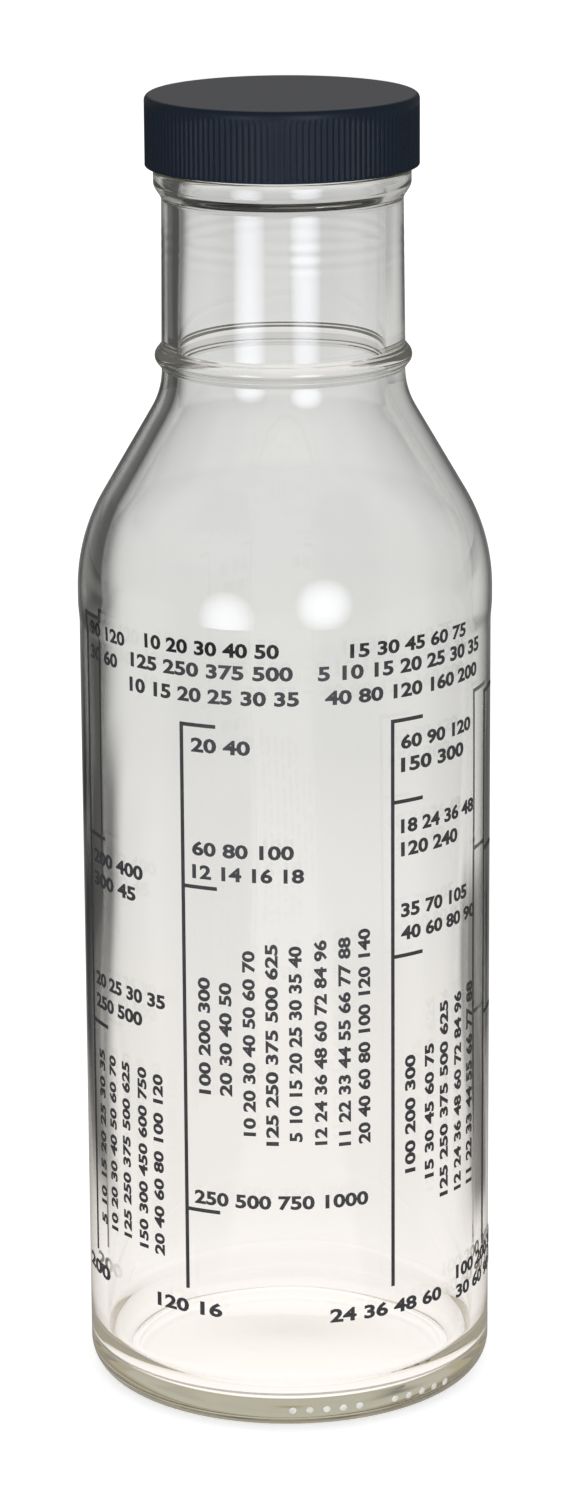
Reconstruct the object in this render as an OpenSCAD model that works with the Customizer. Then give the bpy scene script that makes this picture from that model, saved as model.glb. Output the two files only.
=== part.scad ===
// Clear glass dressing bottle with a 38 mm ribbed screw cap, in millimetres.
// The origin is the middle of the base on the table, +Z runs up the bottle's axis,
// and -Y is the side that carries the two middle measuring scales.

/* [Body] */
// Outer diameter of the straight body
body_d = 61.1; // [56:0.1:70]
// Wall thickness of the body
body_wall = 2.5; // [1.8:0.1:4]
// Radius of the rounded heel outside
heel_r = 4.8; // [4:0.2:9]
// Radius of the rounded heel inside
heel_inner_r = 6; // [4:0.25:12]
// Thickness of the glass in the middle of the base
base_t = 3.7; // [2.5:0.1:7]
// Height of the push-up under the base
push_up = 1.8; // [1:0.1:4]
// Width of the flat ring that the bottle stands on
bearing_w = 1.6; // [1:0.1:3]
// Diameter of the small mould dots on the heel
dot_d = 1.1; // [0.6:0.1:1.6]

/* [Shoulder] */
// How far the round shoulder stands out beyond the body, to shield the label panel
shoulder_step = 0.2; // [0.1:0.05:0.6]
// Height of the band from the label panel's top up to the shoulder's curve
shoulder_band = 5.1; // [3:0.1:10]
// Height at which the neck begins, at the foot of the neck ring
neck_foot = 155.5; // [153:0.5:159]
// Slope of the shoulder cone from the bottle's axis, in degrees
cone_angle = 30.3; // [26:0.1:34]
// Radius of the outward curve between the body and the cone
shoulder_r = 28; // [16:1:34]
// Radius of the inward curve between the cone and the neck
neck_blend_r = 12; // [6:0.5:14]

/* [Neck] */
// Outer diameter of the neck just above the ring
neck_d = 35.75; // [34.9:0.05:36.3]
// Outer diameter of the neck just under the transfer bead
neck_top_d = 35.3; // [34.9:0.05:36.3]
// Outer diameter of the neck ring
ring_d = 37.8; // [37:0.1:40]
// Radius of the neck ring's round edge
ring_r = 1.35; // [1:0.05:1.7]
// Diameter of the bore through neck and mouth
bore_d = 30.4; // [28:0.1:31]

/* [Finish] */
// Height of the bottle without its cap
bottle_h = 193.2; // [190:0.1:200]
// Height of the threaded finish above the transfer bead
finish_h = 8.3; // [8:0.1:10]
// Outer diameter of the transfer bead
bead_d = 37.6; // [36.8:0.1:39]
// Height of the transfer bead's straight face
bead_h = 1.9; // [1:0.1:2.5]
// Height of the taper from the neck out to the bead
bead_taper_h = 2.6; // [1.5:0.1:4]
// Diameter of the finish between the threads
root_d = 34.9; // [34.4:0.05:35.2]
// Diameter over the glass thread
thread_d = 37.1; // [36.6:0.05:37.3]
// Rise of the thread in one turn
thread_lead = 4.2333; // [4:0.01:4.4]
// Turns of thread on the glass
thread_turns = 1.15; // [0.8:0.05:1.2]
// Depth of the glass thread's top end below the mouth
thread_start = 1.6; // [1.4:0.05:2]

/* [Cap] */
// Outer diameter of the cap over its ribs
cap_d = 40; // [39.6:0.1:43]
// Height of the cap
cap_h = 10.4; // [10:0.05:10.7]
// Thickness of the cap's top
cap_top_t = 1.6; // [1:0.05:2]
// Radius of the rounded top edge
cap_edge_r = 0.9; // [0.4:0.05:1.4]
// Number of fine ribs round the cap
rib_count = 140; // [90:2:160]
// Depth of the ribs
rib_depth = 0.22; // [0.1:0.01:0.3]
// Height of the smooth band at the cap's lower edge
cap_hem = 0.5; // [0.3:0.05:1]
// Height of the smooth band under the cap's rounded top edge
cap_collar = 0.7; // [0.3:0.05:1.2]
// Turns of thread inside the cap
cap_turns = 1; // [0.7:0.05:1.05]
// Thickness of the sealing liner
liner_t = 1; // [0.8:0.05:1.2]

/* [Print] */
// Width of the printed lines
line_w = 0.55; // [0.3:0.05:0.8]
// Thickness of the fired enamel
print_t = 0.09; // [0.05:0.01:0.1]
// Height of the lower end of the scales
scale_foot = 21.8; // [18:0.2:30]
// How far the scales end below the label panel's top
scale_gap = 9; // [4:0.5:20]
// How far the tall scale on the left rises above the label panel's top
tall_scale_rise = 3.7; // [3.6:0.1:5]
// Length of the tick marks
tick_l = 5.4; // [3:0.1:7]

/* [Clearances] */
// Radial gap between the cap's wall and the glass thread, and between the cap's thread and the glass
thread_gap = 0.3; // [0.25:0.01:0.35]
// Gap between the flanks of the two threads along the axis
flank_gap = 0.35; // [0.25:0.01:0.5]
// Radial gap round the liner
liner_gap = 0.25; // [0.15:0.01:0.3]
// Gap between the enamel and the glass under it
print_gap = 0.01; // [0.005:0.005:0.02]

/* [Hidden] */
$fn = 120;

// Steps of a full turn in the thread sweeps, and the angle over which a thread end fades
sweep_steps = 72;
fade = 25;
// Depth by which a thread's foot is sunk into the wall that carries it
sink = 0.2;
// Half width of the threads at their crests, and how much a flank spreads for each mm of depth
crest_half = 0.55;
cap_crest_half = 0.42;
flank_slope = 0.42;

// Small shapes: the step at the panel's top, the crown of the floor inside, the mouth's edges,
// and how far a mould dot stands out of the heel
panel_step_h = 3.4;
floor_crown = 2.1;
mouth_edge = 0.5;
dot_proud = 0.18;

body_r = body_d / 2;
bearing_r = body_r - heel_r;
floor_z = push_up + base_t;
top_r = body_r + shoulder_step;
inner_r = body_r - body_wall;
neck_r = neck_d / 2;
bore_r = bore_d / 2;
root_r = root_d / 2;
bead_r = bead_d / 2;
thread_r = thread_d / 2;

// Heights of the finish, the bead and the closed cap
bead_top = bottle_h - finish_h;
bead_foot = bead_top - bead_h;
cap_top = bottle_h + liner_t + cap_top_t;
cap_foot = cap_top - cap_h;
ring_z = neck_foot + 2;

// Inner wall of the cap, and the crest of the thread inside it
cap_inner_r = thread_r + thread_gap;
cap_crest_r = root_r + thread_gap;

// Corner where the straight body would meet the shoulder cone, and where the cone meets the neck
blend_len = neck_blend_r * tan(cone_angle / 2);
cone_top = neck_foot - blend_len;
cone_foot = cone_top - (top_r - neck_r) / tan(cone_angle);
panel_top = cone_foot - shoulder_r * tan(cone_angle / 2) - shoulder_band;
scale_top = panel_top - scale_gap;
tall_scale_top = panel_top + tall_scale_rise;

// Centre height of the glass thread at its lower end; the cap's thread lies below its lower flank
glass_z0 = bottle_h - thread_start - thread_lead * thread_turns;
overlap_depth = thread_r - cap_crest_r;
flank_sum = crest_half + cap_crest_half + flank_slope * overlap_depth;
thread_drop = flank_sum + flank_gap;
cap_root_half = cap_crest_half + flank_slope * (cap_inner_r - cap_crest_r);
cap_thread_z0 = cap_foot + cap_root_half + 0.1;
cap_thread_a0 = (cap_thread_z0 - glass_z0 + thread_drop) / thread_lead * 360;

// Angles from the front of the first mould dots of the two rows, the dots in a row and their step
dot_rows = [2, 32];
dots_in_row = 5;
dot_step = 4.8;
// Slope of the heel where the dots sit, in degrees below level
dot_slope = 14;

// The measuring scales: angles from the front, and how far their ticks lie below the top one
left_angle = -71.2;
left_ticks = [33.4, 62.6];
middle_left_angle = -29.5;
middle_left_ticks = [24.3, 74.1];
middle_right_angle = 30.2;
middle_right_ticks = [12.2, 35.6];
right_angle = 73.1;
right_ticks = [24.3, 49.8];

// Points of a round stretch from angle a0 to a1 about the centre [cx, cz]
function arc(cx, cz, r, a0, a1, n = 8) =
  [for (i = [0:n]) [cx + r * cos(a0 + (a1 - a0) * i / n), cz + r * sin(a0 + (a1 - a0) * i / n)]];

// Shoulder from the straight wall at radius r_low up to the neck wall at radius r_high:
// outward curve, cone and inward curve, with the cone's ends at heights z_low and z_high
function shoulder(r_low, r_high, z_low, z_high, convex, concave) = concat(
  arc(r_low - convex, z_low - convex * tan(cone_angle / 2), convex, 0, cone_angle, 14),
  arc(r_high + concave, z_high + concave * tan(cone_angle / 2), concave, 180 + cone_angle, 180, 8));

// Points of an S curve from [r0, z0] up to [r1, z1], upright at both ends
function ease(r0, z0, r1, z1, n = 8) =
  [for (i = [0:n]) [r0 + (r1 - r0) * (1 - cos(180 * i / n)) / 2, z0 + (z1 - z0) * i / n]];

// Points of a shallow dome from its middle at z_mid out to its rim at radius r and z_rim, level at both
function dome(r, z_mid, z_rim, n = 8) =
  [for (i = [0:n]) [r * i / n, z_rim + (z_mid - z_rim) * (1 + cos(180 * i / n)) / 2]];

// Half section of the solid glass without the hollow
module outside_section() {
  polygon(concat(
    [[0, 0]],
    arc(bearing_r, heel_r, heel_r, -90, 0, 10),
    ease(body_r, panel_top, top_r, panel_top + panel_step_h, 4),
    shoulder(top_r, neck_r, cone_foot, cone_top, shoulder_r, neck_blend_r),
    [[neck_r, ring_z + ring_r]],
    ease(neck_top_d / 2, bead_foot - bead_taper_h, bead_r, bead_foot),
    [[bead_r, bead_top - mouth_edge], [bead_r - mouth_edge, bead_top], [root_r, bead_top]],
    arc(root_r - mouth_edge, bottle_h - mouth_edge, mouth_edge, 0, 90, 4),
    [[0, bottle_h]]));
}

// Half section of the hollow, from above the mouth down to the inside of the base
module hollow_section() {
  // The wall of the cone is measured square to it
  inner_top = cone_top - (bore_r - neck_r + body_wall / cos(cone_angle)) / tan(cone_angle);
  inner_foot = inner_top - (inner_r - bore_r) / tan(cone_angle);
  inner_heel_z = floor_z - floor_crown + heel_inner_r;
  polygon(concat(
    dome(inner_r - heel_inner_r, floor_z, floor_z - floor_crown),
    arc(inner_r - heel_inner_r, inner_heel_z, heel_inner_r, -81, 0, 9),
    shoulder(inner_r, bore_r, inner_foot, inner_top, shoulder_r - body_wall, neck_blend_r + body_wall),
    [[bore_r, bottle_h - mouth_edge], [bore_r + 2 * mouth_edge, bottle_h + mouth_edge],
     [0, bottle_h + mouth_edge]]));
}

// Push-up under the base, a shallow dome inside the bearing ring
module push_up_section() {
  rim = bearing_r - bearing_w;
  polygon(concat(dome(rim, push_up, 0), [[rim, -1], [0, -1]]));
}

// A thread ridge swept round the axis. r_foot is the buried foot and r_crest the crest, so a crest
// inside the foot makes an inner thread; half0 and half1 are its half widths there, and z0 is the
// height of its middle at the angle a0. The ends fade into the wall.
module thread(r_foot, r_crest, half0, half1, z0, a0, turns) {
  steps = ceil(sweep_steps * turns);
  span = turns * 360;
  in = r_crest < r_foot;
  rings = [for (i = [0:steps]) let (
      a = span * i / steps,
      k = min(1, min(a, span - a) / fade),
      r = r_foot + (r_crest - r_foot) * (0.12 + 0.88 * k),
      h0 = half0 * (0.4 + 0.6 * k),
      h1 = half1 * (0.4 + 0.6 * k),
      z = z0 + thread_lead * a / 360)
    each [for (p = [[r_foot, -h0], [r, -h1], [r, h1], [r_foot, h0]])
      [p[0] * cos(a0 + a), p[0] * sin(a0 + a), z + p[1]]]];
  sides = [for (i = [0:steps - 1], j = [0:3]) let (
      a = 4 * i + j, b = 4 * i + (j + 1) % 4, c = b + 4, d = a + 4)
    each in ? [[c, b, a], [d, c, a]] : [[a, b, c], [a, c, d]]];
  last = 4 * steps;
  caps = in ? [[0, 1, 2, 3], [last + 3, last + 2, last + 1, last]]
            : [[3, 2, 1, 0], [last, last + 1, last + 2, last + 3]];
  polyhedron(rings, concat(sides, caps), convexity = 6);
}

// One small round dot that the mould leaves on the heel, at the angle a from the front
module mould_dot(a) {
  reach = heel_r + dot_proud - dot_d / 2;
  rotate(a - 90)
    translate([bearing_r + reach * cos(dot_slope), 0, heel_r - reach * sin(dot_slope)])
      sphere(d = dot_d, $fn = 24);
}

module bottle() {
  ring_centre = ring_d / 2 - ring_r;
  color([0.86, 0.9, 0.87, 0.5]) union() {
    difference() {
      rotate_extrude() outside_section();
      rotate_extrude() hollow_section();
      rotate_extrude() push_up_section();
    }
    difference() {
      rotate_extrude() translate([ring_centre, ring_z]) circle(ring_r, $fn = 32);
      translate([0, 0, ring_z - 2 * ring_r]) cylinder(r = neck_r - 0.6, h = 4 * ring_r);
    }
    for (first = dot_rows, i = [0:dots_in_row - 1]) mould_dot(first + i * dot_step);
    thread(root_r - sink, thread_r, crest_half + flank_slope * (thread_r - root_r + sink),
           crest_half, glass_z0, 0, thread_turns);
  }
}

// Star outline of the ribbed skirt
module rib_outline() {
  outer = cap_d / 2;
  step = 360 / rib_count;
  polygon([for (i = [0:rib_count - 1], p = [[outer - rib_depth, 0], [outer - rib_depth, 0.2],
           [outer, 0.4], [outer, 0.8]]) let (a = step * (i + p[1])) [p[0] * cos(a), p[0] * sin(a)]]);
}

module cap() {
  outer = cap_d / 2;
  core = outer - rib_depth - 0.15;
  collar_z = cap_top - cap_edge_r - cap_collar;
  color([0.09, 0.1, 0.12]) union() {
    difference() {
      union() {
        rotate_extrude() polygon(concat(
          [[0, cap_foot], [outer - rib_depth, cap_foot], [outer - rib_depth / 2, cap_foot + cap_hem]],
          [[core, cap_foot + cap_hem + 0.2], [core, collar_z - 0.2], [outer, collar_z + 0.2]],
          arc(outer - cap_edge_r, cap_top - cap_edge_r, cap_edge_r, 0, 90, 8),
          [[0, cap_top]]));
        translate([0, 0, cap_foot + cap_hem / 2])
          linear_extrude(collar_z - cap_foot - cap_hem / 2) rib_outline();
      }
      translate([0, 0, cap_foot - 1])
        cylinder(r = cap_inner_r, h = cap_top - cap_top_t - cap_foot + 1);
      translate([0, 0, cap_foot - 1]) cylinder(r1 = cap_inner_r + 1.1, r2 = cap_inner_r - 0.1, h = 1.4);
    }
    thread(cap_inner_r + sink, cap_crest_r, cap_root_half + flank_slope * sink, cap_crest_half,
           cap_thread_z0, cap_thread_a0, cap_turns);
  }
}

module cap_liner() {
  color([0.93, 0.93, 0.91])
    translate([0, 0, bottle_h]) cylinder(r = cap_inner_r - liner_gap, h = liner_t);
}

// Outside of the glass, moved out by t, from the height z0 to z1 on the panel or the shoulder
function skin(t, z0, z1) = z1 <= panel_top
  ? [[body_r + t, z0], [body_r + t, z1]]
  : concat(z0 < panel_top ? [[body_r + t, z0]] : [],
           z0 < panel_top ? ease(body_r + t, panel_top, top_r + t, panel_top + panel_step_h, 4)
                          : [[top_r + t, z0]],
           [[top_r + t, z1]]);

function backwards(list) = [for (i = [len(list) - 1:-1:0]) list[i]];

// One measuring scale: an upright line at the angle a, and ticks to its right, the first at the top.
// It is a patch of enamel from which the bare glass between the ticks is cut away.
module scale_mark(a, top, drops) {
  half = line_w / body_r * 90 / PI;
  sweep = tick_l / body_r * 180 / PI;
  ticks = concat([0], drops, [top - scale_foot + line_w]);
  color([0.12, 0.12, 0.13]) difference() {
    rotate(a - half - 90) rotate_extrude(angle = half + sweep)
      polygon(concat(skin(print_gap + print_t, scale_foot, top + line_w / 2),
                     backwards(skin(print_gap, scale_foot, top + line_w / 2))));
    for (i = [0:len(drops)])
      rotate(a + half - 90) rotate_extrude(angle = sweep + 1)
        translate([body_r - 1, top - ticks[i + 1] + line_w / 2])
          square([2, ticks[i + 1] - ticks[i] - line_w]);
  }
}

module scale_left() { scale_mark(left_angle, tall_scale_top, left_ticks); }
module scale_middle_left() { scale_mark(middle_left_angle, scale_top, middle_left_ticks); }
module scale_middle_right() { scale_mark(middle_right_angle, scale_top, middle_right_ticks); }
module scale_right() { scale_mark(right_angle, scale_top, right_ticks); }

bottle();
cap();
cap_liner();
scale_left();
scale_middle_left();
scale_middle_right();
scale_right();
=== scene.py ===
import math

import bmesh
import bpy
import numpy as np
from mathutils import Matrix, Vector


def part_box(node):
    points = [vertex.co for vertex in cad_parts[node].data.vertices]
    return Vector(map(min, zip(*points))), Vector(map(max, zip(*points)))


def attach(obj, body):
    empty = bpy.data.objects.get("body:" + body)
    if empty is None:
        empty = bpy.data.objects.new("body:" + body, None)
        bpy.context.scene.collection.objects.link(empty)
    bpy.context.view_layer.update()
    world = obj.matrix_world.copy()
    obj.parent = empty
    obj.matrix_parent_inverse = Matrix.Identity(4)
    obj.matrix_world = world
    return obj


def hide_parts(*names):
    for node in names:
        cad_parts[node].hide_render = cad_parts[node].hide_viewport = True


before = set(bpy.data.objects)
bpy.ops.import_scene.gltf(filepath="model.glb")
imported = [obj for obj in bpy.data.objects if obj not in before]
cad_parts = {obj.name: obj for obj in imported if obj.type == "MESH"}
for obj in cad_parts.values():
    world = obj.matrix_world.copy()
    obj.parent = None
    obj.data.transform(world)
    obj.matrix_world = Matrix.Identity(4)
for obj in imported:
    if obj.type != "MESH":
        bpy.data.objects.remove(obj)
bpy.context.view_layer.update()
print("stage: frame loaded,", len(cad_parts), "nodes")

mm = 0.001
hair = 0.01   # a tolerance in millimetres, for finding the rows of a profile by their place
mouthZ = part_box("bottle")[1].z / mm
capFoot, capTop = (corner.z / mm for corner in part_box("cap"))


# Camera: the place the photograph was taken from, and a focal length in pixels of its 579 x 1500 image
view = dict(
    imageHeight=1500,
    focalPixels=4978.5,
    sensor=36,
    clip=(0.01, 50),
    standoff=720 * mm,
    height=291.5 * mm,
    pitch=0.2635,   # downward tilt in radians
    yaw=0.0007,
    roll=0.0063,    # clockwise, so the bottle leans a little to the left
)


def makeCamera(v):
    # forward is turned down by pitch and right by yaw, then right and up are turned about it by roll
    forward = Vector((math.sin(v["yaw"]), math.cos(v["yaw"]) * math.cos(v["pitch"]),
                      -math.cos(v["yaw"]) * math.sin(v["pitch"]))).normalized()
    right = forward.cross(Vector((0, 0, 1))).normalized()
    up = right.cross(forward)
    c, s = math.cos(v["roll"]), math.sin(v["roll"])
    right, up = right * c - up * s, up * c + right * s
    data = bpy.data.cameras.new("camera")
    data.sensor_fit = "VERTICAL"
    data.sensor_height = v["sensor"]
    data.sensor_width = v["sensor"]
    data.lens = v["focalPixels"] * v["sensor"] / v["imageHeight"]
    data.clip_start, data.clip_end = v["clip"]
    camera = bpy.data.objects.new("camera", data)
    bpy.context.scene.collection.objects.link(camera)
    turn = Matrix((right, up, -forward)).transposed().to_4x4()
    camera.matrix_world = Matrix.Translation((0, -v["standoff"], v["height"])) @ turn
    bpy.context.scene.camera = camera


makeCamera(view)
print("stage: camera")


# Helpers for meshes
def gridMesh(name, points):
    # Faces between neighbouring points of a rows x columns grid whose columns close round the axis.
    # The first and the last row are poles: one shared point each, with a fan of triangles
    rows, cols = points.shape[:2]
    verts = np.concatenate([points[0, :1], points[1:-1].reshape(-1, 3), points[-1, :1]])
    j = np.arange(cols)
    k = (j + 1) % cols
    row = 1 + cols * np.arange(rows - 3)[:, None]
    lastRow, tip = 1 + cols * (rows - 3), 1 + cols * (rows - 2)
    faces = np.stack([row + j, row + k, row + cols + k, row + cols + j], -1).reshape(-1, 4).tolist()
    faces += np.stack([0 * j, 1 + k, 1 + j], -1).tolist()
    faces += np.stack([lastRow + j, lastRow + k, 0 * j + tip], -1).tolist()
    mesh = bpy.data.meshes.new(name)
    mesh.from_pydata(verts.tolist(), [], faces)
    mesh.update()
    mesh.polygons.foreach_set("use_smooth", np.ones(len(mesh.polygons), bool))
    return mesh


def addPiece(name, mesh, material, body, slot, *nodes):
    piece = bpy.data.objects.new(name, mesh)
    bpy.context.scene.collection.objects.link(piece)
    mesh.materials.clear()
    mesh.materials.append(material)
    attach(piece, body)
    if nodes:
        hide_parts(*nodes)
    return piece


def arc(cr, cz, r, a0, a1, n):
    # n + 1 points on a circle about (cr, cz) from the angle a0 to a1 in degrees
    a = np.radians(np.linspace(a0, a1, n + 1))
    return np.stack([cr + r * np.cos(a), cz + r * np.sin(a)], -1)


def line(r0, z0, r1, z1, n):
    # n + 1 points spaced evenly from (r0, z0) to (r1, z1)
    t = np.linspace(0, 1, n + 1)[:, None]
    return np.array([[r0, z0]]) * (1 - t) + np.array([[r1, z1]]) * t


def ease(r0, z0, r1, z1, n):
    # an S curve that starts and ends upright: r follows half a cosine while z climbs evenly
    t = np.linspace(0, 1, n + 1)
    return np.stack([r0 + (r1 - r0) * (1 - np.cos(np.pi * t)) / 2, z0 + (z1 - z0) * t], -1)


def joinProfile(*parts):
    # the stretches one after another, without the points that two of them share
    pts = np.concatenate(parts)
    keep = np.concatenate([[True], np.hypot(*np.diff(pts, axis=0).T) > 1e-4])
    return pts[keep]


# Helpers for materials
def fill(tree, node, inputs):
    # each input takes a plain value, or a link from another node's output
    for name, value in inputs.items():
        if isinstance(value, bpy.types.NodeSocket):
            tree.links.new(value, node.inputs[name])
        else:
            node.inputs[name].default_value = value


def addNode(tree, kind, inputs, **settings):
    # a shader node with its settings first, because they decide which inputs it has
    node = tree.nodes.new("ShaderNode" + kind)
    for name, value in settings.items():
        setattr(node, name, value)
    fill(tree, node, inputs)
    return node


def addMath(tree, operation, *values):
    return addNode(tree, "Math", dict(enumerate(values)), operation=operation).outputs["Value"]


def addSlope(tree, value, span, low, high):
    # a smooth step from low to high while value crosses the span
    step = addNode(tree, "MapRange", {"From Min": span[0], "From Max": span[1], "To Min": low,
                                      "To Max": high, "Value": value}, interpolation_type="SMOOTHSTEP")
    return step.outputs["Result"]


def addMix(tree, share, a, b, kind="FLOAT"):
    return addNode(tree, "Mix", {"Factor": share, "A": a, "B": b}, data_type=kind).outputs["Result"]


def addRamp(tree, value, stops, way="LINEAR"):
    # stops are pairs of a position from 0 to 1 and a colour
    node = addNode(tree, "ValToRGB", {"Fac": value})
    node.color_ramp.interpolation = way
    elements = node.color_ramp.elements
    elements[0].position, elements[0].color = stops[0]
    elements[1].position, elements[1].color = stops[-1]
    for position, colour in stops[1:-1]:
        elements.new(position).color = colour
    return node.outputs["Color"]


def addLength(tree, place):
    # how far a place lies from the origin
    return addNode(tree, "VectorMath", {0: place}, operation="LENGTH").outputs["Value"]


def addHeight(tree, place):
    return addNode(tree, "SeparateXYZ", {"Vector": place}).outputs["Z"]


def objectPlace(tree):
    return addNode(tree, "TexCoord", {}).outputs["Object"]


def addBump(tree, height, strength, depth):
    return addNode(tree, "Bump", {"Strength": strength, "Distance": depth * mm,
                                  "Height": height}).outputs["Normal"]


def mixShaders(tree, output, share, first, second):
    mix = addNode(tree, "MixShader", {"Fac": share, 1: first, 2: second})
    fill(tree, output, {"Surface": mix.outputs["Shader"]})


def newMaterial(name):
    material = bpy.data.materials.new(name)
    material.use_nodes = True
    tree = material.node_tree
    return material, tree, tree.nodes["Principled BSDF"], tree.nodes["Material Output"]


def newGroup(name, inputs, outputs):
    # an empty node group whose sockets are given by name and kind, with its two end nodes
    group = bpy.data.node_groups.new(name, "ShaderNodeTree")
    for side, sockets in (("INPUT", inputs), ("OUTPUT", outputs)):
        for socket, kind in sockets.items():
            group.interface.new_socket(name=socket, in_out=side, socket_type="NodeSocket" + kind)
    return group, group.nodes.new("NodeGroupInput"), group.nodes.new("NodeGroupOutput")


def makeGrain():
    # fine random grain from 0 to 1, for the plastic, the enamel and the mould dots
    group, start, end = newGroup("grain", {"Place": "Vector", "Scale": "Float", "Detail": "Float"},
                                 {"Grain": "Float"})
    noise = addNode(group, "TexNoise", {"Vector": start.outputs["Place"], "Scale": start.outputs["Scale"],
                                        "Detail": start.outputs["Detail"]})
    fill(group, end, {"Grain": noise.outputs["Fac"]})
    return group


def addGrain(tree, scale, detail):
    return addNode(tree, "Group", {"Place": objectPlace(tree), "Scale": scale, "Detail": detail},
                   node_tree=grain).outputs["Grain"]


# Materials. The glass's rim is painted darker, a painted shade, over the edge range of Layer Weight's
# Facing, and only on the outside. The ramps by height run over rampHeight, and their stops are in millimetres
glassLook = dict(
    ior=1.51,
    faceTint=(1.0, 1.0, 1.0, 1),
    rimBlend=0.5,
    edge=(0.60, 0.84),
    rampHeight=200,
    # painted shade on the glass's outer rim, by height
    paintedEdgeShades=[(0, (0.94, 0.93, 0.87, 1)), (28, (0.86, 0.85, 0.82, 1)), (56, (0.02, 0.02, 0.02, 1)),
               (153, (0.02, 0.02, 0.02, 1)), (156, (0.34, 0.34, 0.32, 1)), (160, (0.34, 0.34, 0.32, 1)),
               (163, (0.03, 0.03, 0.03, 1)), (176, (0.03, 0.03, 0.03, 1)), (179, (0.34, 0.34, 0.31, 1))],
    bounces=6,
    # painted glow by height, for paths that are still in the glass after many bounces
    paintedGlowColours=[(30, (0.54, 0.50, 0.43, 1)), (60, (0.13, 0.127, 0.115, 1))],
    absorbColour=(0.72, 0.67, 0.40, 1),
    absorbDensity=14.0,
)


def makeGlass(g):
    # Clear glass whose outer rim is painted darker, a painted shade, with a faint olive body colour that
    # shows where it is thick. The painted rim shade follows the height, as it is paler at the foot, at the
    # ring and under the cap
    material, tree, shader, output = newMaterial("clear glass")
    rim = addNode(tree, "LayerWeight", {"Blend": g["rimBlend"]}).outputs["Facing"]
    rim = addRamp(tree, rim, [(g["edge"][0], (0, 0, 0, 1)), (g["edge"][1], (1, 1, 1, 1))], "EASE")
    skin = addNode(tree, "Attribute", {}, attribute_name="outside").outputs["Fac"]
    height = addNode(tree, "MapRange", {"From Max": g["rampHeight"] * mm,
                                        "Value": addHeight(tree, objectPlace(tree))}).outputs["Result"]
    # the colour of the painted rim shade, by height
    paintedRim = addRamp(tree, height, [(z / g["rampHeight"], colour) for z, colour in g["paintedEdgeShades"]])
    colour = addMix(tree, addMath(tree, "MULTIPLY", rim, skin), g["faceTint"], paintedRim, "RGBA")
    fill(tree, shader, {"Base Color": colour, "Transmission Weight": 1, "Roughness": 0, "IOR": g["ior"]})
    volume = addNode(tree, "VolumeAbsorption", {"Color": g["absorbColour"], "Density": g["absorbDensity"]})
    fill(tree, output, {"Volume": volume.outputs["Volume"]})
    # painted glow: where a path is still in the glass after many bounces, the glass glows with a colour by
    # height, in place of the light that would come out of it
    depth = addNode(tree, "LightPath", {}).outputs["Ray Depth"]
    pastBounces = addMath(tree, "GREATER_THAN", depth, g["bounces"] - 0.5)
    paintedGlow = addRamp(tree, height, [(z / g["rampHeight"], colour) for z, colour in g["paintedGlowColours"]])
    paintedGlowShader = addNode(tree, "Emission", {"Color": paintedGlow})
    mixShaders(tree, output, pastBounces, shader.outputs["BSDF"], paintedGlowShader.outputs["Emission"])
    return material


plasticLook = dict(
    sideColour=(0.007, 0.013, 0.023, 1),
    # the top face's colour is painted light: the same black plastic, lighter where the light from above falls
    topPaintedLight=(0.106, 0.108, 0.115, 1),
    sideRough=0.42,
    topRough=0.62,
    topFrom=(0.75, 0.97),   # how much a face has to point up, to look like the top
    specular=0.17,
    grainScale=2200,
    grainDetail=3,
    bumpStrength=0.25,
    bumpDepth=0.05,   # mm
)


def makeCapPlastic(p):
    # Black polypropylene: satin on the skirt, matt and grainy on the top face, whose colour is painted much
    # lighter than the skirt's as painted light from above
    material, tree, shader, _ = newMaterial("black polypropylene")
    normal = addNode(tree, "NewGeometry", {}).outputs["Normal"]
    mask = addNode(tree, "MapRange", {"From Min": p["topFrom"][0], "From Max": p["topFrom"][1],
                                      "Value": addHeight(tree, normal)}).outputs["Result"]
    rough = addNode(tree, "MapRange", {"To Min": p["sideRough"], "To Max": p["topRough"], "Value": mask})
    bump = addBump(tree, addGrain(tree, p["grainScale"], p["grainDetail"]), p["bumpStrength"], p["bumpDepth"])
    fill(tree, shader, {"Base Color": addMix(tree, mask, p["sideColour"], p["topPaintedLight"], "RGBA"),
                        "Roughness": rough.outputs["Result"], "Normal": bump,
                        "Specular IOR Level": p["specular"]})
    return material


enamelLook = dict(dark=(0.020, 0.020, 0.022, 1), light=(0.055, 0.055, 0.058, 1), rough=(0.38, 0.55),
                  grainScale=900, grainDetail=2)


def makeEnamel(e):
    # Fired black enamel, a little uneven in colour and gloss
    material, tree, shader, _ = newMaterial("black enamel")
    uneven = addGrain(tree, e["grainScale"], e["grainDetail"])
    rough = addNode(tree, "MapRange", {"To Min": e["rough"][0], "To Max": e["rough"][1], "Value": uneven})
    fill(tree, shader, {"Base Color": addRamp(tree, uneven, [(0, e["dark"]), (1, e["light"])]),
                        "Roughness": rough.outputs["Result"]})
    return material


foamLook = dict(colour=(0.82, 0.82, 0.79, 1), rough=0.7, cellScale=3000, bumpStrength=0.3, bumpDepth=0.05)


def makeFoam(m):
    # White closed-cell liner
    material, tree, shader, _ = newMaterial("foam liner")
    cells = addNode(tree, "TexVoronoi", {"Vector": objectPlace(tree), "Scale": m["cellScale"]})
    bump = addBump(tree, cells.outputs["Distance"], m["bumpStrength"], m["bumpDepth"])
    fill(tree, shader, {"Base Color": m["colour"], "Roughness": m["rough"], "Normal": bump})
    return material


# the mould dots' colours are painted light, pale where they gather the floor's light
paintedDotLightLook = dict(dark=(0.62, 0.60, 0.50, 1), light=(0.92, 0.91, 0.84, 1), rough=0.2,
                    grainScale=1200, grainDetail=2)


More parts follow.
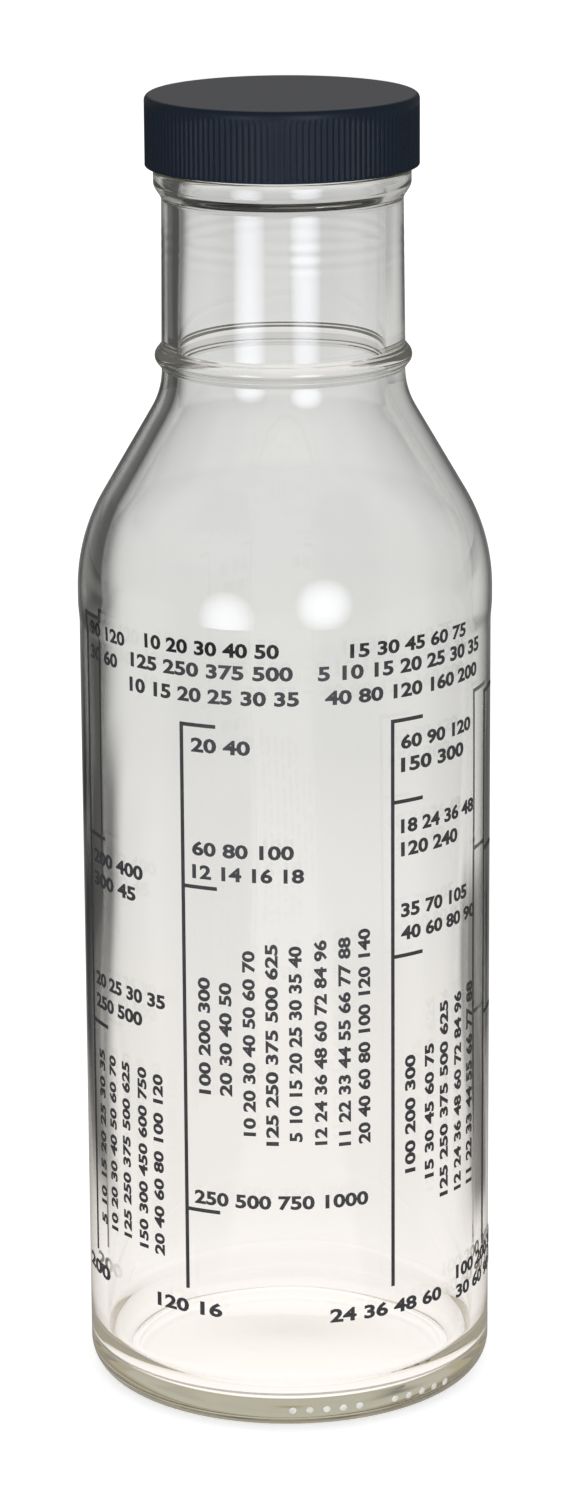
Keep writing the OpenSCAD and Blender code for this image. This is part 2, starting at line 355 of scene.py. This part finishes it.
def makePaintedDotLight(d):
    # The mould dots are clear glass painted pale and a little uneven, as painted light: the light of the
    # floor that they gather
    material, tree, shader, _ = newMaterial("dots painted light")
    paintedDotGrain = addGrain(tree, d["grainScale"], d["grainDetail"])
    fill(tree, shader, {"Base Color": addRamp(tree, paintedDotGrain, [(0, d["dark"]), (1, d["light"])]),
                        "Roughness": d["rough"]})
    return material


grain = makeGrain()
glass = makeGlass(glassLook)
paintedDotLight = makePaintedDotLight(paintedDotLightLook)
capPlastic = makeCapPlastic(plasticLook)
enamel = makeEnamel(enamelLook)
foam = makeFoam(foamLook)
print("stage: materials")


# The bottle, in millimetres and in degrees, as in the CAD source
bottleForm = dict(
    columns=240, bodyR=30.55, shoulderStep=0.2, shoulderBand=5.1, stepHeight=3.4, wall=2.5,
    heelR=4.8, heelInnerR=6.0, baseThickness=3.7, pushUp=1.8, bearingWidth=1.6, floorCrown=2.1,
    neckFoot=155.5, coneAngle=30.3, shoulderR=28.0, neckBlendR=12.0, neckR=17.875, neckTopR=17.65,
    ringR=18.9, ringEdge=1.35, ringLift=2.0, ringSlope=0.93, ringBlend=0.22,
    ringHalf=(1.2, 1.75, 1.8),   # from the ring's middle to its foot, the blend's end and the plain neck
    boreR=15.2, finishHeight=8.3, beadR=18.8, beadHeight=1.9, beadTaper=2.6, rootR=17.45, threadR=18.55,
    mouthEdge=0.5, lead=4.2333, threadTurns=1.15, threadStart=1.6, crestHalf=0.55, flankSlope=0.42,
    fade=25.0,   # degrees over which the thread's ends run out
    ripple=0.012, rippleZ=174.5, rippleHalf=3.4, rippleWave=3.3, rippleBend=2,
    waves=[(0.10, 2, 23, 0), (0.07, 3, -15, 1.3), (0.03, 5, 9, 0)],   # depth, count, pitch, phase
    waveBase=0.1, waveFrom=(14, 24), waveTo=(158, 178),
)


def shoulderCurve(f, rLow, rHigh, zLow, zHigh, convex, concave):
    # outward arc, straight cone and inward arc between two upright walls
    half = math.tan(math.radians(f["coneAngle"] / 2))
    return joinProfile(
        arc(rLow - convex, zLow - convex * half, convex, 0, f["coneAngle"], 22),
        arc(rHigh + concave, zHigh + concave * half, concave, 180 + f["coneAngle"], 180, 14))


def threadFoot(f):
    # where the middle of the glass thread starts
    return mouthZ - f["threadStart"] - f["lead"] * f["threadTurns"]


def ridge(f, angle, z, lead, turns, z0, a0, half0, half1):
    # how far each point lies up a thread ridge, 0 to 1: the ridge's middle climbs by the lead in each
    # turn from z0 at the angle a0, its flanks run from half0 at the foot to half1 at the crest
    depth = np.zeros(np.broadcast(angle, z).shape)
    for lap in range(3):
        a = (angle - a0) % 360 + 360 * lap
        along = turns * 360 - a
        fadeIn = np.clip(np.minimum(a, along) / f["fade"], 0, 1)
        dz = np.abs(z - (z0 + lead * a / 360))
        up = np.clip((half0 - dz) / (half0 - half1), 0, 1)
        up = up * up * (3 - 2 * up)
        depth = np.maximum(depth, up * fadeIn * (along > 0))
    return depth


def bottleMesh(f):
    # The glass is one closed sheet: a profile from the middle of the push-up, out over the heel, up
    # the outside, over the mouth and down the inside, turned round the axis. The outer thread is added
    # to the radius, and the inside gets a slight slow waviness
    top, e = mouthZ, f["mouthEdge"]
    slant = math.radians(f["coneAngle"])
    tan, half = math.tan(slant), math.tan(slant / 2)
    bodyR, topR = f["bodyR"], f["bodyR"] + f["shoulderStep"]
    bearingR = bodyR - f["heelR"]
    rim = bearingR - f["bearingWidth"]
    coneTop = f["neckFoot"] - f["neckBlendR"] * half
    coneFoot = coneTop - (topR - f["neckR"]) / tan
    panelTop = coneFoot - f["shoulderR"] * half - f["shoulderBand"]
    beadTop = top - f["finishHeight"]
    beadFoot = beadTop - f["beadHeight"]
    ringZ = f["neckFoot"] + f["ringLift"]
    ringC = f["ringR"] - f["ringEdge"]
    ringFoot = ringC + f["ringEdge"] * math.cos(math.asin(f["ringSlope"])) + f["ringBlend"]
    ringIn, ringOut, neckStart = f["ringHalf"]
    dome = np.linspace(0, 1, 25)
    lift = (1 + np.cos(np.pi * dome)) / 2
    outside = joinProfile(
        np.stack([rim * dome, f["pushUp"] * lift], -1),
        line(rim, 0, bearingR, 0, 4),
        arc(bearingR, f["heelR"], f["heelR"], -90, 0, 34),
        line(bodyR, f["heelR"], bodyR, panelTop, 40),
        ease(bodyR, panelTop, topR, panelTop + f["stepHeight"], 8),
        shoulderCurve(f, topR, f["neckR"], coneFoot, coneTop, f["shoulderR"], f["neckBlendR"]),
        ease(f["neckR"], ringZ - ringOut, ringFoot, ringZ - ringIn, 5),
        arc(ringC, ringZ, f["ringEdge"], -60, 60, 14),
        ease(ringFoot, ringZ + ringIn, f["neckR"], ringZ + ringOut, 5),
        line(f["neckR"], ringZ + neckStart, f["neckTopR"], beadFoot - f["beadTaper"], 80),
        ease(f["neckTopR"], beadFoot - f["beadTaper"], f["beadR"], beadFoot, 12),
        line(f["beadR"], beadFoot, f["beadR"], beadTop - e, 3),
        arc(f["beadR"] - e, beadTop - e, e, 0, 90, 4),
        line(f["beadR"] - e, beadTop, f["rootR"], beadTop, 2),
        line(f["rootR"], beadTop, f["rootR"], top - e, 44),
        arc(f["rootR"] - e, top - e, e, 0, 90, 5))
    innerR = bodyR - f["wall"]
    innerTop = coneTop - (f["boreR"] - f["neckR"] + f["wall"] / math.cos(slant)) / tan
    innerFoot = innerTop - (innerR - f["boreR"]) / tan
    floorZ = f["pushUp"] + f["baseThickness"]
    heelC = floorZ - f["floorCrown"] + f["heelInnerR"]
    inside = joinProfile(
        np.stack([(innerR - f["heelInnerR"]) * dome, floorZ - f["floorCrown"] * (1 - lift)], -1),
        arc(innerR - f["heelInnerR"], heelC, f["heelInnerR"], -90, 0, 22),
        line(innerR, heelC, innerR, innerFoot - (f["shoulderR"] - f["wall"]) * half, 36),
        shoulderCurve(f, innerR, f["boreR"], innerFoot, innerTop,
                      f["shoulderR"] - f["wall"], f["neckBlendR"] + f["wall"]),
        line(f["boreR"], ringZ, f["boreR"], top - e, 30),
        arc(f["boreR"] + e, top - e, e, 180, 90, 5))[::-1]
    profile = joinProfile(outside, inside)
    isOut = (np.arange(len(profile)) < len(outside))[:, None]
    cols = f["columns"]
    angle = (np.arange(cols) * 360 / cols)[None, :]   # from the front, -Y
    r, z = (np.repeat(profile[:, k:k + 1], cols, 1) for k in (0, 1))
    # the thread on the finish, whose angles count from +X
    foot = f["crestHalf"] + f["flankSlope"] * (f["threadR"] - f["rootR"])
    up = ridge(f, (angle - 90) % 360, z, f["lead"], f["threadTurns"], threadFoot(f), 0, foot, f["crestHalf"])
    onFinish = isOut & (z > beadTop + hair) & (z < top - e - 0.1)
    r += (f["threadR"] - f["rootR"]) * up * onFinish
    # fine rings round the upper neck: a sine of the height that fades out over rippleHalf
    a = np.radians(angle)
    rings = np.clip(1 - ((z - f["rippleZ"]) / f["rippleHalf"]) ** 2, 0, 1)
    rings = rings * np.sin(z * f["rippleWave"] + np.sin(a * f["rippleBend"]))
    r += np.where(isOut, f["ripple"] * rings, 0)
    # the waviness of the blown inside: each wave is depth * sin(count * angle + z / pitch + phase)
    wave = sum(depth * np.sin(count * a + z / pitch + phase) for depth, count, pitch, phase in f["waves"])
    (z0, z1), (z2, z3) = f["waveFrom"], f["waveTo"]
    calm = np.clip((z - z0) / (z1 - z0), 0, 1) * np.clip((z3 - z) / (z3 - z2), 0, 1)
    r -= np.where(isOut, 0, (wave + f["waveBase"]) * calm)
    mesh = gridMesh("bottle", np.stack([r * np.sin(a), -r * np.cos(a), z], -1) * mm)
    flags = np.concatenate([isOut[0], np.repeat(isOut[1:-1, 0], cols), isOut[-1]]).astype(np.float32)
    mesh.attributes.new("outside", "FLOAT", "POINT").data.foreach_set("value", flags)
    return mesh


# The mould dots on the heel, in millimetres and in degrees
dotForm = dict(diameter=1.15, proud=0.17, sunk=0.08, slope=14.0, rows=(0.7, 31.0), inRow=5, step=4.8,
               rings=6, sides=20)


def dotsMesh(f, d):
    # Each dot is a dome of height proud * sqrt(1 - q^2) over a flat disc that is sunk a little into the
    # glass, with q the distance from its middle over its radius
    slope = math.radians(d["slope"])
    dotR = f["bodyR"] - f["heelR"] + f["heelR"] * math.cos(slope)
    dotZ = f["heelR"] - f["heelR"] * math.sin(slope)
    bend = np.linspace(0, np.pi / 2, d["rings"] + 1)
    q = np.concatenate([np.sin(bend), [1, 0]])[:, None]
    rise = np.concatenate([np.cos(bend) * d["proud"], [-d["sunk"], -d["sunk"]]])[:, None]
    turn = np.linspace(0, 2 * np.pi, d["sides"], endpoint=False)[None, :]
    side = q * d["diameter"] / 2 * np.cos(turn)
    along = q * d["diameter"] / 2 * np.sin(turn)
    r = dotR + math.cos(slope) * rise + math.sin(slope) * along
    z = dotZ - math.sin(slope) * rise + math.cos(slope) * along
    made = bmesh.new()
    for first in d["rows"]:
        for k in range(d["inRow"]):
            a = math.radians(first + k * d["step"])
            x = r * math.sin(a) + side * math.cos(a)
            y = -r * math.cos(a) + side * math.sin(a)
            mesh = gridMesh("dot", np.stack([x, y, z], -1) * mm)
            made.from_mesh(mesh)
            bpy.data.meshes.remove(mesh)
    bmesh.ops.recalc_face_normals(made, faces=made.faces)
    mesh = bpy.data.meshes.new("mould_dots")
    made.to_mesh(mesh)
    made.free()
    return mesh


bottle = addPiece("glass_bottle", bottleMesh(bottleForm), glass, "bottle_body", "clear_glass", "bottle")
addPiece("mould_dots", dotsMesh(bottleForm, dotForm), paintedDotLight, "bottle_body", "clear_glass")
print("stage: bottle,", len(bottle.data.polygons), "faces")


# The cap, in millimetres and in degrees
capForm = dict(
    outerR=20.0, topT=1.6, edgeR=0.9, hem=0.5, collar=0.7, footEdge=0.12, chamfer=0.25,
    ribs=140, ribSteps=8, ribDepth=0.18, ribShape=0.7, ribEnd=0.35,
    ribFoot=(0.05, 0.4, 0.45),   # where the ribs grow from, over what height, and their least share
    innerR=18.85, crestR=17.75, crestHalf=0.42, flankSlope=0.42, flankGap=0.35, threadLift=0.1,
    turns=1.0, fade=25.0,
)


def capMesh(c, f):
    # The cap is a closed sheet: out from the middle of its top, over the rounded edge, down the ribbed
    # skirt, under the lower edge and up the inside with its thread. The ribs take a rounded square
    # wave, 1 - (half a cosine + half) ^ ribShape, off the radius, and fade out at their ends
    foot, top = capFoot, capTop
    outer, inner, edge = c["outerR"], c["innerR"], c["edgeR"]
    ceiling = top - c["topT"]
    collarZ = top - edge - c["collar"]
    profile = joinProfile(
        line(0, top, outer - edge, top, 10),
        arc(outer - edge, top - edge, edge, 90, 0, 10),
        line(outer, top - edge, outer, collarZ, 3),
        line(outer, collarZ, outer, foot + c["hem"], 12),
        line(outer, foot + c["hem"], outer, foot + c["footEdge"], 3),
        line(outer, foot + c["footEdge"], outer - c["footEdge"], foot, 1),
        line(outer - c["footEdge"], foot, inner + c["chamfer"], foot, 2),
        line(inner + c["chamfer"], foot, inner, foot + c["chamfer"], 1),
        line(inner, foot + c["chamfer"], inner, ceiling, 44),
        line(inner, ceiling, 0, ceiling, 6))
    cols = c["ribs"] * c["ribSteps"]
    angle = (np.arange(cols) * 360 / cols)[None, :]   # from +X
    r, z = (np.repeat(profile[:, k:k + 1], cols, 1) for k in (0, 1))
    isSkirt = (r > outer - 0.2) & (z < top - edge + 1e-6)
    groove = 1 - (0.5 + 0.5 * np.cos(np.radians(angle * c["ribs"]))) ** c["ribShape"]
    start, rise, least = c["ribFoot"]
    reach = np.clip((collarZ + c["ribEnd"] - z) / (2 * c["ribEnd"]), 0, 1)
    reach = reach * np.clip((z - foot - start) / rise, least, 1)
    r -= c["ribDepth"] * groove * reach * isSkirt
    # the cap's thread lies on the lower flank of the glass thread, with a gap
    rootHalf = c["crestHalf"] + c["flankSlope"] * (inner - c["crestR"])
    z0 = foot + rootHalf + c["threadLift"]
    flanks = f["crestHalf"] + c["crestHalf"] + c["flankSlope"] * (f["threadR"] - c["crestR"])
    a0 = (z0 - threadFoot(f) + flanks + c["flankGap"]) / f["lead"] * 360
    up = ridge(c, angle, z, f["lead"], c["turns"], z0, a0, rootHalf, c["crestHalf"])
    isInside = (r < inner + hair) & (r > inner - hair) & (z < ceiling - 5 * hair)
    r -= (inner - c["crestR"]) * up * isInside
    a = np.radians(angle)
    return gridMesh("cap", np.stack([r * np.cos(a), r * np.sin(a), z], -1)[::-1] * mm)


cap = addPiece("ribbed_cap", capMesh(capForm, bottleForm), capPlastic, "cap_body",
               "black_polypropylene", "cap")
print("stage: cap,", len(cap.data.polygons), "faces")


def dressNode(name, material):
    # a CAD node keeps its shape and gets a finished material
    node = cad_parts[name]
    node.data.materials.clear()
    node.data.materials.append(material)


dressNode("cap_liner", foam)
for name in ("scale_left", "scale_middle_left", "scale_middle_right", "scale_right"):
    dressNode(name, enamel)
print("stage: liner and scales")


# Numbers printed beside the scales. Angles are in degrees from the front, heights in mm. A row runs
# round the bottle from one angle to another at a height, a column runs up it from one height to another
printForm = dict(skinR=30.55, gap=0.03, thickness=0.06, rowHeight=2.2, columnHeight=1.95,
                 weight=0.034, slab=0.1, curveSteps=3)
printRows = dict(
    numbers_middle_left=[
        ("10 20 30 40 50", -41.5, -1.7, 120.0), ("125 250 375 500", -47.0, 2.0, 116.7),
        ("10 15 20 25 30 35", -47.6, 3.6, 113.0), ("20 40", -26.6, -9.7, 105.6),
        ("60 80 100", -26.6, 2.0, 90.1), ("12 14 16 18", -26.6, 4.7, 86.6),
        ("250 500 750 1000", -27.0, 22.5, 36.5), ("120 16", -40.0, -19.0, 19.0)],
    numbers_middle_right=[
        ("15 30 45 60 75", 17.6, 59.0, 119.7), ("5 10 15 20 25 30 35", 8.7, 67.5, 116.6),
        ("40 80 120 160 200", 10.6, 66.0, 113.0), ("60 90 120", 32.9, 62.0, 105.2),
        ("150 300", 32.9, 58.0, 101.8), ("18 24 36 48", 32.9, 64.0, 92.6),
        ("120 240", 32.9, 55.0, 89.1), ("35 70 105", 32.9, 60.0, 79.8),
        ("40 60 80 90", 32.9, 65.0, 76.3), ("24 36 48 60", 11.3, 48.0, 18.5)],
    numbers_left=[
        ("90 120", -68.5, -49.5, 119.3), ("30 60", -68.5, -53.0, 115.7), ("200 400", -68.5, -43.5, 84.6),
        ("300 45", -68.5, -46.5, 81.1), ("20 25 30 35", -68.5, -36.0, 65.6),
        ("250 500", -68.5, -44.5, 62.1), ("200", -80.0, -62.0, 19.0)],
    numbers_right=[("100 200 300", 55.0, 92.0, 20.5), ("30 60 90 12", 55.0, 92.0, 17.3)],
)
printColumns = dict(
    numbers_middle_left=[
        ("100 200 300", -23.5, 52.7, 70.6), ("20 30 40 50", -17.3, 52.7, 70.1),
        ("10 20 30 40 50 60 70", -10.7, 46.8, 75.2), ("125 250 375 500 625", -4.4, 45.4, 76.3),
        ("5 10 15 20 25 30 35 40", 2.1, 46.0, 76.0), ("12 24 36 48 60 72 84 96", 9.0, 45.4, 76.8),
        ("11 22 33 44 55 66 77 88", 15.7, 45.0, 77.0), ("20 40 60 80 100 120 140", 21.4, 45.0, 78.0)],
    numbers_middle_right=[
        ("100 200 300", 36.0, 39.1, 57.4), ("15 30 45 60 75", 43.0, 37.4, 58.3),
        ("125 250 375 500 625", 49.0, 33.7, 64.2), ("12 24 36 48 60 72 84 96", 55.5, 33.7, 64.7),
        ("11 22 33 44 55 66 77 88", 62.0, 33.7, 65.4)],
    numbers_left=[
        ("5 10 15 20 25 30 35", -65.2, 27.0, 54.6), ("10 20 30 40 50 60 70", -58.7, 27.0, 54.6),
        ("125 250 375 500 625", -52.0, 27.0, 54.6), ("150 300 450 600 750", -45.0, 26.4, 54.7),
        ("20 40 60 80 100 120", -39.0, 26.0, 54.3)],
    numbers_right=[],
)


def flatText(words, p):
    # the words as a closed slab, its outline scaled to run from 0 to 1 in x, in y and in thickness
    curve = bpy.data.curves.new("words", "FONT")
    curve.body = words
    curve.resolution_u = p["curveSteps"]
    curve.offset = p["weight"]
    curve.extrude = p["slab"]
    holder = bpy.data.objects.new("words", curve)
    bpy.context.scene.collection.objects.link(holder)
    mesh = bpy.data.meshes.new_from_object(holder.evaluated_get(bpy.context.evaluated_depsgraph_get()))
    bpy.data.objects.remove(holder)
    at = np.empty(len(mesh.vertices) * 3)
    mesh.vertices.foreach_get("co", at)
    at = at.reshape(-1, 3)
    return mesh, (at - at.min(0)) / (at.max(0) - at.min(0))


def printNumbers(name, rows, columns, p):
    # Each word is laid on the glass: its length and height become an arc and a height on the cylinder,
    # its thickness runs outwards from the gap
    made = bmesh.new()
    perDegree = p["skinR"] * math.pi / 180
    runs = [(w, a0, a1, z - p["rowHeight"] / 2, z + p["rowHeight"] / 2, False) for w, a0, a1, z in rows]
    half = p["columnHeight"] / 2 / perDegree
    runs += [(w, a - half, a + half, z0, z1, True) for w, a, z0, z1 in columns]
    for words, a0, a1, z0, z1, upwards in runs:
        mesh, at = flatText(words, p)
        u, v = (1 - at[:, 1], at[:, 0]) if upwards else (at[:, 0], at[:, 1])
        a = np.radians(a0 + (a1 - a0) * u)
        r = p["skinR"] + p["gap"] + p["thickness"] * at[:, 2]
        placed = np.stack([r * np.sin(a), -r * np.cos(a), z0 + (z1 - z0) * v], -1) * mm
        mesh.vertices.foreach_set("co", placed.ravel())
        made.from_mesh(mesh)
        bpy.data.meshes.remove(mesh)
    bmesh.ops.remove_doubles(made, verts=made.verts, dist=1e-6)
    bmesh.ops.recalc_face_normals(made, faces=made.faces)
    mesh = bpy.data.meshes.new(name)
    made.to_mesh(mesh)
    made.free()
    addPiece(name, mesh, enamel, "bottle_body", "black_enamel")


for name in printRows:
    printNumbers(name, printRows[name], printColumns[name], printForm)
print("stage: numbers")


# The room: a white sweep behind the bottle between darker strips, as in the photograph, where they draw
# the glass's dark edges. Each step is a pair of angles in degrees to one side of straight behind the
# bottle, how much the brightness changes between them, and the distances over which the step sets in.
# From the opening's angles on, the brightness is that of the sides. The sweep's stops are shares of
# reach, the metres behind the bottle that it runs. The last values are strengths by kind of ray
roomLook = dict(
    left=[(9, 17, -0.82, 0.075, 0.12), (9, 17, -0.14, 0.18, 0.27), (9, 17, 0.96, 0.34, 0.42),
          (12, 26, -0.96, 0.34, 0.42), (12, 26, 0.10, 0.50, 0.58), (12, 26, -0.10, 0.62, 0.75)],
    right=[(15, 20, -0.78, 0.075, 0.10), (15, 20, 0.66, 0.25, 0.30), (25, 45, -0.30, 0.70, 0.95)],
    opening=(55, 80), sides=0.80, halfWidth=0.035,
    floorSize=3.0, floorColour=(0.86, 0.86, 0.85, 1), floorRough=0.8, seenGlow=0.52,
    reach=1.3, sweepGlow=1.05, sweepShare=0.92,
    sweep=[(0, (1.0, 0.96, 0.94, 1)), (0.03, (1.04, 1.0, 0.98, 1)), (0.06, (0.95, 0.92, 0.90, 1)),
           (0.14, (0.90, 0.88, 0.865, 1)), (0.22, (0.845, 0.84, 0.83, 1)), (0.28, (0.775, 0.775, 0.765, 1)),
           (0.42, (0.75, 0.757, 0.75, 1)), (0.55, (0.745, 0.755, 0.755, 1)), (1, (0.52, 0.53, 0.53, 1))],
    underGlow=0.22, underRadius=(0.022, 0.034),
    wallDistance=0.6, wallTop=(0.22, 0.40),
    soft=0.75, seen=1.0, glossy=0.18, through=0.62,
)


def makeSurround(s):
    # Brightness of the sweep against the compass, for a place on the floor: 1 straight behind, darker in
    # the strips, nearly as bright again at the sides, and in front as behind. Places are taken from the
    # bottle's edge outwards by halfWidth
    group, start, end = newGroup("surround", {"Place": "Vector"}, {"Level": "Float"})
    split = addNode(group, "SeparateXYZ", {"Vector": start.outputs["Place"]})
    x, y = split.outputs["X"], split.outputs["Y"]
    outside = addMath(group, "SUBTRACT", addMath(group, "ABSOLUTE", x), s["halfWidth"])
    away = addMath(group, "ARCTAN2", addMath(group, "MAXIMUM", outside, 0.0), addMath(group, "ABSOLUTE", y))
    distance = addLength(group, start.outputs["Place"])
    levels = []
    for side in ("left", "right"):
        level = 1.0
        for a, b, change, near, far in s[side]:
            step = addMath(group, "MULTIPLY",
                           addSlope(group, away, (math.radians(a), math.radians(b)), 0, change),
                           addSlope(group, distance, (near, far), 0, 1))
            level = addMath(group, "ADD", step, level)
        levels.append(level)
    strips = addMix(group, addMath(group, "GREATER_THAN", x, 0.0), levels[0], levels[1])
    opening = addSlope(group, away, [math.radians(a) for a in s["opening"]], 0, 1)
    fill(group, end, {"Level": addMix(group, opening, strips, s["sides"])})
    return group


def addSurround(tree, group, place):
    return addNode(tree, "Group", {"Place": place}, node_tree=group).outputs["Level"]


def addSquare(name, mesh, size):
    # a flat square about the origin, facing +Z
    h = size / 2
    mesh.from_pydata([(-h, -h, 0), (h, -h, 0), (h, h, 0), (-h, h, 0)], [], [(0, 1, 2, 3)])
    square = bpy.data.objects.new(name, mesh)
    bpy.context.scene.collection.objects.link(square)
    return square


def makeStage(s, surround):
    # The floor is white to the camera and keeps a soft shadow. In and through the glass it is the
    # sweep: warm and bright close by, brightest under the bottle, and greyer far behind
    mesh = bpy.data.meshes.new("floor")
    floor = addSquare("floor", mesh, s["floorSize"])
    material, tree, shader, output = newMaterial("pale floor")
    path = addNode(tree, "LightPath", {})
    seen, glossy, through = (path.outputs[f"Is {kind} Ray"] for kind in ("Camera", "Glossy", "Transmission"))
    fill(tree, shader, {"Base Color": s["floorColour"], "Roughness": s["floorRough"],
                        "Specular IOR Level": 0.0, "Emission Color": (1, 1, 1, 1),
                        "Emission Strength": addMath(tree, "MULTIPLY", seen, s["seenGlow"])})
    place = addNode(tree, "NewGeometry", {}).outputs["Position"]
    behind = addNode(tree, "SeparateXYZ", {"Vector": place}).outputs["Y"]
    sweep = addRamp(tree, addMath(tree, "DIVIDE", behind, s["reach"]), s["sweep"])
    under = addSlope(tree, addLength(tree, place), s["underRadius"],
                     s["sweepGlow"] + s["underGlow"], s["sweepGlow"])
    level = addMath(tree, "MULTIPLY", addSurround(tree, surround, place), under)
    mirrored = addMath(tree, "MAXIMUM", addMath(tree, "SUBTRACT", glossy, through), 0.0)
    dimmed = addMath(tree, "MULTIPLY", mirrored, 1 - s["glossy"] / s["soft"])
    strength = addMath(tree, "MULTIPLY", level, addMath(tree, "SUBTRACT", 1.0, dimmed))
    glowing = addNode(tree, "Emission", {"Color": sweep, "Strength": strength})
    share = addMath(tree, "MULTIPLY", addMath(tree, "MAXIMUM", glossy, through), s["sweepShare"])
    mixShaders(tree, output, share, shader.outputs["BSDF"], glowing.outputs["Emission"])
    mesh.materials.append(material)


# Two round soft lamps in front: angle from the camera's side, height of the middle, and brightness
lampForm = dict(size=0.36, distance=0.62, colour=(0.95, 0.98, 1.07, 1), aim=0.11,
                lamps=[(-31.5, 0.064, 7.2), (21.0, 0.150, 8.2)])


def makeLamps(l):
    # Each lamp fades from its middle by 1 - q^2, with q the distance from it as a part of half its
    # width. It shines from its front alone, and isn't seen through the glass
    for k, (azimuth, height, power) in enumerate(l["lamps"]):
        mesh = bpy.data.meshes.new("soft box")
        lamp = addSquare(f"soft box {k + 1}", mesh, l["size"])
        material, tree, _, output = newMaterial("soft box")
        q = addMath(tree, "DIVIDE", addLength(tree, objectPlace(tree)), l["size"] / 2)
        fade = addMath(tree, "SUBTRACT", 1.0, addMath(tree, "POWER", q, 2.0))
        strength = addMath(tree, "MULTIPLY", addMath(tree, "MAXIMUM", fade, 0.0), power)
        hidden = addMath(tree, "MAXIMUM", addNode(tree, "NewGeometry", {}).outputs["Backfacing"],
                         addNode(tree, "LightPath", {}).outputs["Is Transmission Ray"])
        glowing = addNode(tree, "Emission", {"Color": l["colour"], "Strength": strength})
        clear = addNode(tree, "BsdfTransparent", {})
        mixShaders(tree, output, hidden, glowing.outputs["Emission"], clear.outputs["BSDF"])
        mesh.materials.append(material)
        lamp.visible_camera = False
        lamp.visible_shadow = False
        a = math.radians(azimuth)
        place = Vector((math.sin(a), -math.cos(a), 0)) * l["distance"] + Vector((0, 0, height))
        aim = Vector((0, 0, l["aim"])) - place
        lamp.matrix_world = Matrix.Translation(place) @ aim.to_track_quat("Z", "Y").to_matrix().to_4x4()


def makeWorld(w, surround):
    # A soft white room. Through the glass it carries the strips on low above the floor, as on a wall at
    # wallDistance, and they end over the heights of wallTop
    world = bpy.data.worlds.new("soft white room")
    bpy.context.scene.world = world
    world.use_nodes = True
    tree = world.node_tree
    direction = addNode(tree, "TexCoord", {}).outputs["Generated"]
    place = addNode(tree, "VectorMath", {0: direction, "Scale": w["wallDistance"]}, operation="SCALE")
    level = addMath(tree, "MAXIMUM", addSurround(tree, surround, place.outputs["Vector"]),
                    addSlope(tree, addHeight(tree, direction), w["wallTop"], 0, 1))
    through = addMath(tree, "MULTIPLY", level, w["through"])
    path = addNode(tree, "LightPath", {})
    value = w["soft"]
    for kind, strength in (("Glossy", w["glossy"]), ("Transmission", through), ("Camera", w["seen"])):
        value = addMix(tree, path.outputs[f"Is {kind} Ray"], value, strength)
    fill(tree, tree.nodes["Background"], {"Color": (1, 1, 1, 1), "Strength": value})


surround = makeSurround(roomLook)
makeStage(roomLook, surround)
makeLamps(lampForm)
makeWorld(roomLook, surround)
bpy.context.scene.view_settings.view_transform = "Standard"
print("stage: floor, lamps and world")
